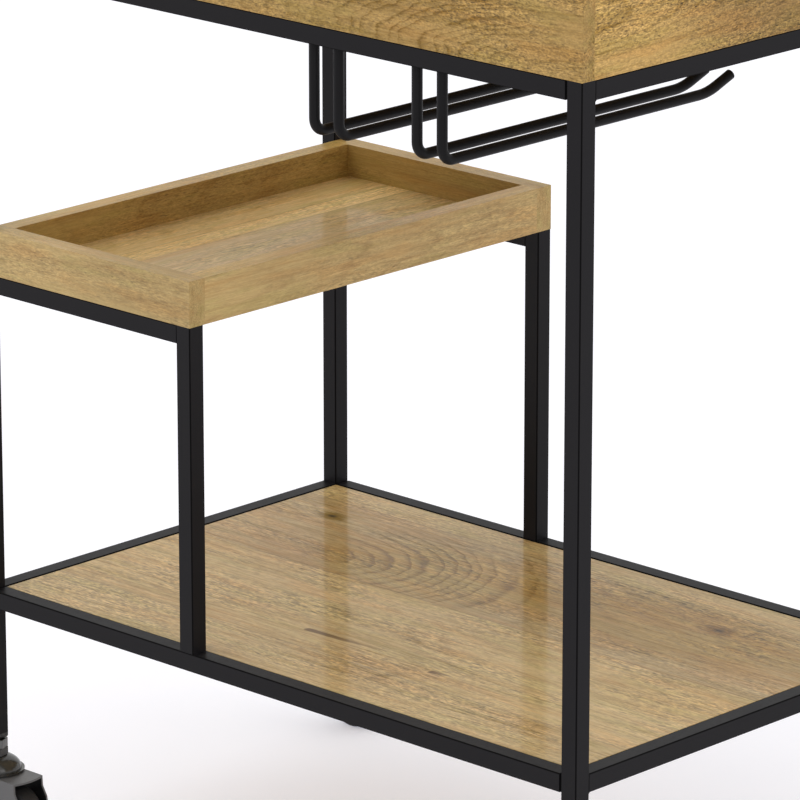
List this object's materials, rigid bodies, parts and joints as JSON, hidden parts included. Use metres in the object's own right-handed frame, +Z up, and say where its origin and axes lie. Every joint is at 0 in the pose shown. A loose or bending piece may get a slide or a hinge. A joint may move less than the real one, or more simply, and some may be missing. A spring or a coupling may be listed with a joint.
{
  "type": "bar cart",
  "caption": "Rolling bar cart: black square-tube frame, wooden shelf, half-width tray, deep top box, hanging rods for stemware, and swivel casters under the posts.",
  "frame": {"origin": "on the floor under the middle of the frame", "axes": "+X along the cart's length towards the end without the tray, +Y towards the back, the open side of the stemware rods, and +Z up"},
  "size_m": [0.7266, 0.4734, 0.882],
  "materials": {
    "frame_black": "satin powder coat",
    "rack_black": "satin powder coat",
    "shelf_wood": "semi-gloss lacquer over solid staves",
    "tray_wood": "semi-gloss lacquer over solid boards",
    "box_wood": "semi-gloss lacquer over solid boards",
    "dowel_wood": "plain turned dowel",
    "zinc_screws": "zinc plated",
    "caster_zinc": "zinc plated, dull",
    "caster_grey": "semi-gloss dark grey",
    "black_plastic": "moulded",
    "tyre_rubber": "soft tread"
  },
  "bodies": {
    "stand": {"front_left_post": "frame_black", "front_right_post": "frame_black", "back_left_post": "frame_black", "back_right_post": "frame_black", "bottom_left_rail": "frame_black", "bottom_right_rail": "frame_black", "top_left_rail": "frame_black", "top_right_rail": "frame_black", "bottom_front_rail": "frame_black", "bottom_back_rail": "frame_black", "top_front_rail": "frame_black", "top_back_rail": "frame_black", "tray_front_rail": "frame_black", "tray_back_rail": "frame_black", "tray_front_leg": "frame_black", "tray_back_leg": "frame_black", "joint_spigots": "frame_black", "joint_screws": "zinc_screws", "shelf_tabs": "frame_black", "shelf_panel": "shelf_wood", "shelf_screws": "zinc_screws", "tray_front_board": "tray_wood", "tray_back_board": "tray_wood", "tray_left_board": "tray_wood", "tray_right_board": "tray_wood", "tray_floor": "tray_wood", "tray_dowels": "dowel_wood", "tray_screws": "zinc_screws", "box_front_board": "box_wood", "box_back_board": "box_wood", "box_left_board": "box_wood", "box_right_board": "box_wood", "box_floor": "box_wood", "box_dowels": "dowel_wood", "box_screws": "zinc_screws", "rod_outer_left": "rack_black", "rod_inner_left": "rack_black", "rod_inner_right": "rack_black", "rod_outer_right": "rack_black", "post_inserts": "black_plastic", "lock_nuts": "caster_zinc", "caster_stems": "caster_zinc", "raceway_covers": "caster_grey", "raceway_balls": "caster_zinc"},
    "front_left_caster": {"front_left_fork": "caster_grey", "front_left_axle": "caster_zinc"},
    "front_left_wheel": {"front_left_hub": "black_plastic", "front_left_tyre": "tyre_rubber"},
    "front_right_caster": {"front_right_fork": "caster_grey", "front_right_axle": "caster_zinc"},
    "front_right_wheel": {"front_right_hub": "black_plastic", "front_right_tyre": "tyre_rubber"},
    "back_left_caster": {"back_left_fork": "caster_grey", "back_left_axle": "caster_zinc"},
    "back_left_wheel": {"back_left_hub": "black_plastic", "back_left_tyre": "tyre_rubber"},
    "back_right_caster": {"back_right_fork": "caster_grey", "back_right_axle": "caster_zinc"},
    "back_right_wheel": {"back_right_hub": "black_plastic", "back_right_tyre": "tyre_rubber"}
  },
  "joints": [
    {"name": "front_left_swivel", "type": "hinge", "parent": "stand", "child": "front_left_caster", "pos_m": [-0.3385, -0.212, 0.062], "axis": [0, 0, 1], "continuous": true},
    {"name": "front_left_roll", "type": "hinge", "parent": "front_left_caster", "child": "front_left_wheel", "pos_m": [-0.3125, -0.212, 0.026], "axis": [0, 1, 0], "continuous": true},
    {"name": "front_right_swivel", "type": "hinge", "parent": "stand", "child": "front_right_caster", "pos_m": [0.3385, -0.212, 0.062], "axis": [0, 0, 1], "continuous": true},
    {"name": "front_right_roll", "type": "hinge", "parent": "front_right_caster", "child": "front_right_wheel", "pos_m": [0.3125, -0.212, 0.026], "axis": [0, 1, 0], "continuous": true},
    {"name": "back_left_swivel", "type": "hinge", "parent": "stand", "child": "back_left_caster", "pos_m": [-0.3385, 0.212, 0.062], "axis": [0, 0, 1], "continuous": true},
    {"name": "back_left_roll", "type": "hinge", "parent": "back_left_caster", "child": "back_left_wheel", "pos_m": [-0.3125, 0.212, 0.026], "axis": [0, 1, 0], "continuous": true},
    {"name": "back_right_swivel", "type": "hinge", "parent": "stand", "child": "back_right_caster", "pos_m": [0.3385, 0.212, 0.062], "axis": [0, 0, 1], "continuous": true},
    {"name": "back_right_roll", "type": "hinge", "parent": "back_right_caster", "child": "back_right_wheel", "pos_m": [0.3125, 0.212, 0.026], "axis": [0, 1, 0], "continuous": true}
  ]
}
